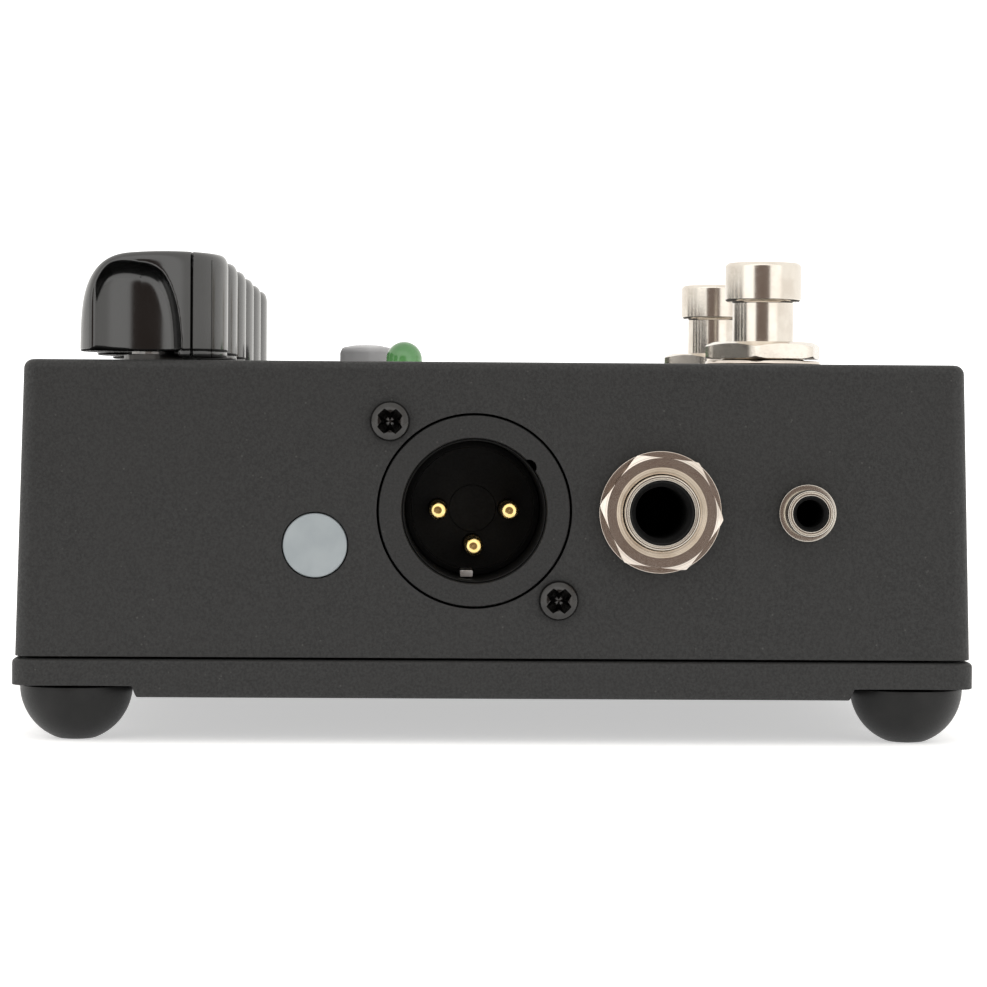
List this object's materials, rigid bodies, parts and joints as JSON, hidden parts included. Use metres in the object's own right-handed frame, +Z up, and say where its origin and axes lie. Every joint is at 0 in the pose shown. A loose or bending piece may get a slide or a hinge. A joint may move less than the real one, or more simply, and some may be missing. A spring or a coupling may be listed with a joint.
{
  "type": "direct injection box",
  "caption": "Floor direct injection preamp pedal: drafted die-cast case with rotary controls, footswitches, an XLR output, jack sockets and a ground lift button.",
  "frame": {"origin": "bottom centre of the whole object's box, on the plane that the feet stand on", "axes": "+X to the player's right along the row of knobs, +Y to the rear where the knobs are, +Z up; the sockets for the XLR, line and headphone plugs are on the face at -X"},
  "size_m": [0.159, 0.1262, 0.0651],
  "materials": {
    "powder_coat": "fine-textured charcoal powder coat over die-cast aluminium",
    "rubber": "satin black rubber",
    "nickel": "bright nickel plating, turned and lightly brushed",
    "plated_steel": "zinc-plated steel",
    "black_steel": "black oxide steel",
    "gold": "gold-plated contact",
    "black_plastic": "black moulded plastic",
    "knob_plastic": "semi-gloss black moulded plastic",
    "grey_plastic": "satin blue-grey moulded plastic",
    "green_lens": "clear green epoxy lens",
    "circuit_board": "green solder mask"
  },
  "bodies": {
    "root": {"enclosure": "powder_coat", "bottom_plate": "powder_coat", "foot_front_left": "rubber", "foot_front_right": "rubber", "foot_rear_left": "rubber", "foot_rear_right": "rubber", "lid_screw_front_left": "plated_steel", "lid_screw_front_right": "plated_steel", "lid_screw_rear_left": "plated_steel", "lid_screw_rear_right": "plated_steel", "xlr_shell": "powder_coat", "xlr_insert": "black_plastic", "xlr_ground_contact": "plated_steel", "xlr_pin_1": "gold", "xlr_pin_2": "gold", "xlr_pin_3": "gold", "xlr_screw_1": "black_steel", "xlr_screw_2": "black_steel", "line_out_jack": "nickel", "line_out_jack_washer": "nickel", "line_out_jack_nut": "nickel", "input_jack": "nickel", "input_jack_washer": "nickel", "input_jack_nut": "nickel", "headphone_jack": "nickel", "power_jack": "black_plastic", "ground_lift_switch": "black_plastic", "voicing_switch": "black_plastic", "footswitch_left_body": "nickel", "footswitch_left_washer": "nickel", "footswitch_left_nut": "nickel", "led_left": "green_lens", "footswitch_right_body": "nickel", "footswitch_right_washer": "nickel", "footswitch_right_nut": "nickel", "led_right": "green_lens", "pot_body_1": "black_plastic", "pot_body_2": "black_plastic", "pot_body_3": "black_plastic", "pot_body_4": "black_plastic", "pot_body_5": "black_plastic", "pot_body_6": "black_plastic", "control_board": "circuit_board", "main_board": "circuit_board"},
    "knob_1": {"knob_1": "knob_plastic", "pot_shaft_1": "plated_steel"},
    "knob_2": {"knob_2": "knob_plastic", "pot_shaft_2": "plated_steel"},
    "knob_3": {"knob_3": "knob_plastic", "pot_shaft_3": "plated_steel"},
    "knob_4": {"knob_4": "knob_plastic", "pot_shaft_4": "plated_steel"},
    "knob_5": {"knob_5": "knob_plastic", "pot_shaft_5": "plated_steel"},
    "knob_6": {"knob_6": "knob_plastic", "pot_shaft_6": "plated_steel"},
    "footswitch_left": {"footswitch_left_plunger": "nickel"},
    "footswitch_right": {"footswitch_right_plunger": "nickel"},
    "ground_lift": {"ground_lift_button": "grey_plastic"},
    "voicing": {"voicing_button": "grey_plastic"}
  },
  "joints": [
    {"name": "knob_1_turn", "type": "hinge", "parent": "root", "child": "knob_1", "pos_m": [-0.06, 0.0458, 0.0501], "axis": [0, 0, 1], "range_deg": [-150, 150]},
    {"name": "knob_2_turn", "type": "hinge", "parent": "root", "child": "knob_2", "pos_m": [-0.036, 0.0458, 0.0501], "axis": [0, 0, 1], "range_deg": [-150, 150]},
    {"name": "knob_3_turn", "type": "hinge", "parent": "root", "child": "knob_3", "pos_m": [-0.012, 0.0458, 0.0501], "axis": [0, 0, 1], "range_deg": [-150, 150]},
    {"name": "knob_4_turn", "type": "hinge", "parent": "root", "child": "knob_4", "pos_m": [0.012, 0.0458, 0.0501], "axis": [0, 0, 1], "range_deg": [-150, 150]},
    {"name": "knob_5_turn", "type": "hinge", "parent": "root", "child": "knob_5", "pos_m": [0.036, 0.0458, 0.0501], "axis": [0, 0, 1], "range_deg": [-150, 150]},
    {"name": "knob_6_turn", "type": "hinge", "parent": "root", "child": "knob_6", "pos_m": [0.06, 0.0458, 0.0501], "axis": [0, 0, 1], "range_deg": [-150, 150]},
    {"name": "footswitch_left_press", "type": "slide", "parent": "root", "child": "footswitch_left", "axis": [0, 0, -1], "range_m": [0, 0.003], "stiffness_N_per_m": 800, "springref_m": -0.002},
    {"name": "footswitch_right_press", "type": "slide", "parent": "root", "child": "footswitch_right", "axis": [0, 0, -1], "range_m": [0, 0.003], "stiffness_N_per_m": 800, "springref_m": -0.002},
    {"name": "ground_lift_press", "type": "slide", "parent": "root", "child": "ground_lift", "axis": [1, 0, 0], "range_m": [0, 0.0025], "stiffness_N_per_m": 150, "springref_m": -0.001},
    {"name": "voicing_press", "type": "slide", "parent": "root", "child": "voicing", "axis": [0, 0, -1], "range_m": [0, 0.0025], "stiffness_N_per_m": 150, "springref_m": -0.001}
  ]
}
